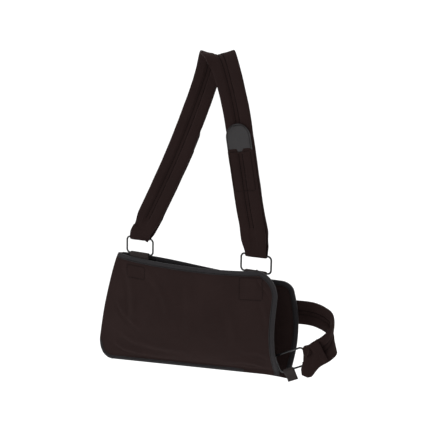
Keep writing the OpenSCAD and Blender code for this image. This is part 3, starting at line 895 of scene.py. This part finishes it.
class SLING_OT_pouch(bpy.types.Operator):
    """Build the pouch from one folded sheet of cloth"""
    bl_idname = "sling.pouch"
    bl_label = "Pouch cloth"

    def execute(self, context):
        depth = context.scene.sling_sizes.crease
        nu, nv = 150, 84
        v = 0.5 - 0.5 * np.cos(np.linspace(0, math.pi, nv + 1))
        v = mix(v, np.linspace(0, 1, nv + 1), 0.6)
        u = np.linspace(0, 1, nu + 1)
        uu, vv = np.meshgrid(u, v, indexing="ij")
        front = panel_points(uu, vv, True, depth)
        back = panel_points(uu, vv, False, depth)
        # The fold at the elbow end, from the back's first column round to the front's
        fold = []
        for q in (0.2, 0.4, 0.6, 0.8):
            mid = mix(back[0], front[0], q)
            gap = np.abs(back[0][:, 1] - front[0][:, 1])
            mid[:, 0] -= gap * 0.42 * math.sin(math.pi * q)
            fold.append(mid)
        columns = np.concatenate([back[::-1], np.array(fold), front])
        n, m = columns.shape[0], columns.shape[1]
        faces = [(i * m + j, (i + 1) * m + j, (i + 1) * m + j + 1, i * m + j + 1)
                 for i in range(n - 1) for j in range(m - 1)]
        s = length_along(columns[:, m // 2])
        uvs = np.stack([np.repeat(s * MM, m), np.tile(v * POUCH_H * MM, n)], axis=1)
        cloth = mesh_object("pouch_cloth", columns.reshape(-1, 3), faces, uvs)
        solid = cloth.modifiers.new("thickness", "SOLIDIFY")
        solid.thickness = 0.0020
        solid.offset = 0
        solid.use_even_offset = True
        dress(cloth, "pouch")
        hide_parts("front_panel", "back_panel")
        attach(cloth, "pouch")
        return {"FINISHED"}


def rims():
    """The pouch's bound edges: for each, its points and points just inside it."""
    step = 190
    out = {}
    top_u = np.linspace(0, 1, step)
    side_v = 1 - np.linspace(0, 1, 120)[1:] ** 1.3
    for front in (True, False):
        u = np.concatenate([top_u ** (1 if front else 0.95), np.ones(len(side_v))])
        v = np.concatenate([np.ones(step), side_v])
        rim = panel_points(u, v, front)
        turn = smooth((u - 0.8) / 0.2) * (v >= 1)
        iu = np.where(v < 1, u - 0.03, u - 0.03 * turn)
        iv = np.where(v < 1, v, v - 0.06)
        inner = panel_points(iu, np.clip(iv, 0, 1), front)
        inner = relaxed(inner, 8)
        keep = evenly_pair(rim, inner, 1.8)
        out["front" if front else "back"] = keep
    v = 0.22 * (np.linspace(1, 0, 40) ** 1.6)
    u = np.concatenate([np.zeros(40), np.linspace(0, 0.97, 200)[1:]])
    v = np.concatenate([v, np.zeros(199)])
    rim = front_base(u, v)
    inner = front_base(u + np.where(v > 0, 0.02, 0.004), v + np.where(v > 0, 0.0, 0.05))
    rim[:, 1] = 0
    inner[:, 1] = 0
    out["bottom"] = evenly_pair(rim, relaxed(inner, 8), 1.8)
    return out


def evenly_pair(path, other, step):
    """Both runs again, with the first one's points step apart."""
    s = length_along(path)
    at = np.linspace(0, s[-1], max(2, int(s[-1] / step)))
    a = np.stack([np.interp(at, s, path[:, k]) for k in range(3)], axis=1)
    b = np.stack([np.interp(at, s, other[:, k]) for k in range(3)], axis=1)
    return relaxed(a, 2), b


class SLING_OT_bindings(bpy.types.Operator):
    """Build the binding tape round the pouch's edges, with its stitching"""
    bl_idname = "sling.bindings"
    bl_label = "Binding tape"

    def execute(self, context):
        sizes = context.scene.sling_sizes
        runs = []
        for number, (name, (rim, inner)) in enumerate(rims().items()):
            bottom = name == "bottom"
            half = 2.9 if bottom else CLOTH_T / 2 + 0.05
            reach = 6.0 if bottom else BINDING_W - 2.2
            piece = mesh_object(name + "_tape", *tape(rim, inner, reach, half, 0.85, 60 + number))
            dress(piece, "binding")
            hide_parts(name + "_binding")
            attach(piece, "pouch")
            runs += tape_seam(rim, inner, reach - 1.7, half + 0.95)
        thread = dress(stitches("binding_seams", runs, sizes.stitch * 0.85, sizes.thread * 0.85), "thread")
        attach(thread, "pouch")
        return {"FINISHED"}


def turned(points, tilt, at):
    """Points of a ring's own frame in the row frame."""
    c, s = math.cos(math.radians(tilt)), math.sin(math.radians(tilt))
    p = np.asarray(points, float)
    x, y, z = p[..., 0], p[..., 1], p[..., 2]
    return np.stack([x * c + z * s, y, z * c - x * s], axis=-1) + at


class SLING_OT_ring_tabs(bpy.types.Operator):
    """Build the webbing tabs that hold the rings to the pouch"""
    bl_idname = "sling.ring_tabs"
    bl_label = "Ring tabs"

    def execute(self, context):
        sizes = context.scene.sling_sizes
        tabs = [("wrist", WRIST_RING_AT, WRIST_TILT, TAB_W, 45.0, -1, 0.0),
                ("elbow", ELBOW_RING_AT, ELBOW_TILT, TAB_W, 45.0, -1, 0.0),
                ("waist", WAIST_RING_AT, WAIST_TILT, WAIST_TAB_W, 20.0, 1, -13.2)]
        for number, (name, at, tilt, w, drop, side, shift) in enumerate(tabs):
            r = TURN_MID - TURN_T / 2 + WEB_T / 2
            arc = [(-r * math.cos(a), r * math.sin(a)) for a in np.linspace(0, math.radians(205), 22)]
            leg = [(-r, z) for z in np.linspace(-drop, -1, 14)]
            far = [(-r + WEB_T + 0.05, z) for z in np.linspace(-r - 6.5, -drop, 12)]
            flat = np.array(leg + arc + far)
            line = np.stack([np.zeros(len(flat)), flat[:, 0] * (1 if side < 0 else -1), flat[:, 1]], axis=1)
            line = evenly(relaxed(evenly(line, 0.6), 2), 0.9)
            s = length_along(line)
            _, wd, nm = frames(line, X_REF)
            edge = wobble(s, 15.0, 80 + number) * 0.35
            k = np.linspace(-1, 1, 23)
            rings = []
            for i in range(len(line)):
                a = k * (w / 2 + edge[i])
                h = (WEB_T / 2 - 0.05) * np.sqrt(np.clip(1 - np.abs(k) ** 14, 0, 1)) + 0.02
                rings.append(np.concatenate([line[i] + np.outer(a, wd[i]) + np.outer(h, nm[i]),
                                             (line[i] + np.outer(a, wd[i]) - np.outer(h, nm[i]))[::-1]]))
            rings = [turned(ring + np.array([shift, 0, -RING_H / 2]), tilt, at) for ring in rings]
            across = np.concatenate([k * w / 2, w + k[::-1] * w / 2])
            piece = dress(mesh_object(name + "_tab", *tube(rings, across, s)), "webbing")
            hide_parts(name + "_ring_tab")
            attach(piece, "pouch")
        # The boxes of stitches that show where the tabs are sewn behind the front panel
        runs = []
        for corners in ([(50, -394.5), (98, -389.5), (102, -428), (53, -433)],
                        [(-206, -398), (-163, -400), (-163, -424), (-204, -422)]):
            for (x0, z0), (x1, z1) in zip(corners, corners[1:] + corners[:1]):
                k = np.linspace(0, 1, 40)
                p, n = front_at(mix(x0, x1, k), mix(z0, z1, k), 1.1, sizes.crease)
                runs.append((p, n))
        thread = dress(stitches("tab_seams", runs, sizes.stitch * 0.85, sizes.thread * 0.85), "thread")
        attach(thread, "pouch")
        return {"FINISHED"}


class SLING_OT_waist_strap(bpy.types.Operator):
    """Build the padded waist strap, its folded end and its hook tape"""
    bl_idname = "sling.waist_strap"
    bl_label = "Waist strap"

    def execute(self, context):
        sizes = context.scene.sling_sizes
        path = evenly(waist_path(), sizes.step / MM)
        s = length_along(path)
        left = s[-1] - s
        bare = 1 - smooth((left - 2) / 22)
        w = mix(WAIST_W, WAIST_FOOT_W, 1 - smooth(left / 30)) * mix(0.9, 1.0, smooth(s / 6))
        t = mix(WAIST_T - 0.2, TURN_T, bare) * mix(0.5, 1.0, smooth(s / 6))
        rings, across, along = strap_rings(path, Z_REF, w, t, VALLEY_W, 71, sizes.pucker / MM * 1.1, bare)
        strap = dress(mesh_object("waist_strap", *tube(rings, across, along)), "strap")
        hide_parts("waist_strap_face", "waist_strap_lining")
        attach(strap, "pouch")
        foam = dress(foam_strips("waist_foam", path[12:-24:3], Z_REF, WAIST_W, WAIST_T, VALLEY_W), "foam")
        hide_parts("waist_foam_upper", "waist_foam_lower")
        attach(foam, "pouch")
        runs = [seam_run(path, Z_REF, a, h, 0.02, 0.96) for a in (-SEAM_A, SEAM_A) for h in (-1.1, 1.1)]
        thread = dress(stitches("waist_seams", runs, sizes.stitch, sizes.thread), "thread")
        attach(thread, "pouch")
        self.folded_end(sizes, path)
        return {"FINISHED"}

    def folded_end(self, sizes, strap):
        """The strap's end, round the ring's hand-side bar and back over the strap, a little crumpled."""
        tilt = math.radians(WAIST_TILT + 90)
        e = np.array([math.sin(tilt), 0, math.cos(tilt)])
        bar = WAIST_RING_AT + e * RING_W / 2
        y = np.array([0, 1.0, 0])
        arc = [bar + y * TURN_MID * math.cos(a) - e * TURN_MID * math.sin(a)
               for a in np.linspace(0, math.pi, 13)]
        before = np.array([strap[-4], strap[-1], bar + y * (TURN_MID + 0.6) + e * 3])
        line = waist_end_line()
        path = np.concatenate([before, arc, [bar - y * (TURN_MID + 1.2) + e * 4], line])
        turn_end = length_along(np.concatenate([before, arc]))[-1]
        path = evenly(relaxed(evenly(path, 0.8), 3), 1.3)
        s = length_along(path)
        last = smooth((s[-1] - s) / 5)
        bare = 1 - smooth((s - turn_end - 12) / 20)
        near = smooth(1 - np.abs(s - turn_end + 6) / 12)
        w = mix(WAIST_FOOT_W, WAIST_W - 2, smooth((s - 26) / 22)) * mix(0.92, 1, last)
        w = mix(w, WAIST_TURN_W, near)
        t = mix(TURN_T, WAIST_END_T, 1 - bare) * mix(0.45, 1, last)
        t = np.where(s < turn_end - 4, TURN_T - 0.6, t)
        rings, across, along = strap_rings(path, Z_REF, w, t, VALLEY_W, 91, sizes.pucker / MM * 1.6, bare)
        rings = np.array(rings)
        # Crumples across the end, and its lower edge hanging down beside the ring
        _, wd, nm = frames(path, Z_REF)
        for i in range(len(path)):
            grip = smooth((s[i] - turn_end - 5) / 16)
            a = (rings[i] - path[i]) @ wd[i]
            low = np.where(a * wd[i][2] < 0, np.abs(a), 0)
            droop = 0.75 * math.exp(-((s[i] - turn_end - 12) / 9) ** 2)
            wave = 0.9 * np.sin(s[i] / 9.0 + a / 16.0) + 0.6 * np.sin(s[i] / 4.6 - a / 7.0 + 1.0)
            rings[i] += np.outer(wave * grip, nm[i]) + np.outer(low * droop, [-0.35, -0.1, -1.0])
        leaf = dress(mesh_object("waist_end", *tube(list(rings), across, along)), "strap")
        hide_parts("waist_strap_end")
        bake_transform(leaf)
        line = evenly(line[32:66], 1.0)
        _, wd, nm = frames(line, Z_REF)
        line = line - nm * 2.4
        k = np.linspace(-1, 1, 25)
        rings = [np.concatenate([line[i] + np.outer(k * 17, wd[i]) + np.outer(0.3 + k * 0, nm[i]),
                                 (line[i] + np.outer(k * 17, wd[i]) - np.outer(0.3 + k * 0, nm[i]))[::-1]])
                 for i in range(len(line))]
        hook = dress(mesh_object("waist_hook", *tube(rings, np.concatenate([k * 17, 80 + k[::-1] * 17]),
                                                     length_along(line))), "hook")
        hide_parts("waist_hook_tab")
        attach(hook, "waist_end")


class SLING_OT_stage(bpy.types.Operator):
    """Build the floor, the lights and the camera"""
    bl_idname = "sling.stage"
    bl_label = "Stage"

    def execute(self, context):
        scene = context.scene
        bpy.ops.mesh.primitive_circle_add(vertices=96, radius=30, fill_type="NGON", location=(0, 0, -0.86))
        floor = bpy.context.object
        floor.name = "studio_floor"
        floor.data.materials.append(material("floor"))
        world = bpy.data.worlds.new("studio")
        world.use_nodes = True
        world.node_tree.nodes["Background"].inputs["Color"].default_value = (1, 1, 1, 1)
        world.node_tree.nodes["Background"].inputs["Strength"].default_value = 1.12
        scene.world = world
        scene.view_settings.view_transform = "Standard"
        # (name, place, aim, size, power)
        lights = [("key", (-0.9, -2.4, 1.0), (0, 0, -0.35), 1.3, 17.0),
                  ("fill", (2.2, -1.6, 0.2), (0, 0, -0.4), 1.6, 7.0),
                  ("rim", (0.6, 2.4, 1.2), (0, 0, -0.2), 1.2, 14.0)]
        for name, place, aim, size, power in lights:
            data = bpy.data.lights.new(name, "AREA")
            data.shape = "DISK"
            data.size = size
            data.energy = power
            lamp = bpy.data.objects.new(name, data)
            lamp.location = place
            lamp.rotation_mode = "QUATERNION"
            lamp.rotation_quaternion = (Vector(aim) - Vector(place)).to_track_quat("-Z", "Y")
            scene.collection.objects.link(lamp)
        cam = bpy.data.objects.new("camera", bpy.data.cameras.new("camera"))
        az, el = math.radians(32), math.radians(9)
        back = Vector((math.sin(az) * math.cos(el), -math.cos(az) * math.cos(el), math.sin(el)))
        cam.location = back * 1.7 + Vector((-0.008, 0, -0.285))
        cam.rotation_mode = "QUATERNION"
        cam.rotation_quaternion = (-back).to_track_quat("-Z", "Y")
        cam.data.sensor_width = 36
        cam.data.lens = 77.57
        cam.data.dof.use_dof = False
        cam.data.clip_end = 200
        scene.collection.objects.link(cam)
        scene.camera = cam
        return {"FINISHED"}


class SLING_PT_panel(bpy.types.Panel):
    """Lists the sling's pieces and settings"""
    bl_idname = "SLING_PT_panel"
    bl_label = "Arm sling"
    bl_space_type = "VIEW_3D"
    bl_region_type = "UI"
    bl_category = "Sling"

    def draw(self, context):
        for group in (context.scene.sling_sizes, context.scene.sling_colours):
            for name in group.bl_rna.properties.keys():
                if name not in ("rna_type", "name"):
                    self.layout.prop(group, name)
        for operator in OPERATORS:
            self.layout.operator(operator.bl_idname)


OPERATORS = (SLING_OT_neck_strap, SLING_OT_strap_ends, SLING_OT_hook_tabs, SLING_OT_rings, SLING_OT_pouch,
             SLING_OT_bindings, SLING_OT_ring_tabs, SLING_OT_waist_strap, SLING_OT_stage)
CLASSES = (SlingSizes, SlingColours, *OPERATORS, SLING_PT_panel)


def register():
    for c in CLASSES:
        bpy.utils.register_class(c)
    bpy.types.Scene.sling_sizes = bpy.props.PointerProperty(type=SlingSizes)
    bpy.types.Scene.sling_colours = bpy.props.PointerProperty(type=SlingColours)


def unregister():
    del bpy.types.Scene.sling_colours
    del bpy.types.Scene.sling_sizes
    for c in reversed(CLASSES):
        bpy.utils.unregister_class(c)


def main():
    register()
    bpy.ops.sling.neck_strap()
    bpy.ops.sling.strap_ends()
    bpy.ops.sling.hook_tabs()
    bpy.ops.sling.rings()
    bpy.ops.sling.pouch()
    bpy.ops.sling.bindings()
    bpy.ops.sling.ring_tabs()
    bpy.ops.sling.waist_strap()
    bpy.ops.sling.stage()


if __name__ == "__main__":
    main()
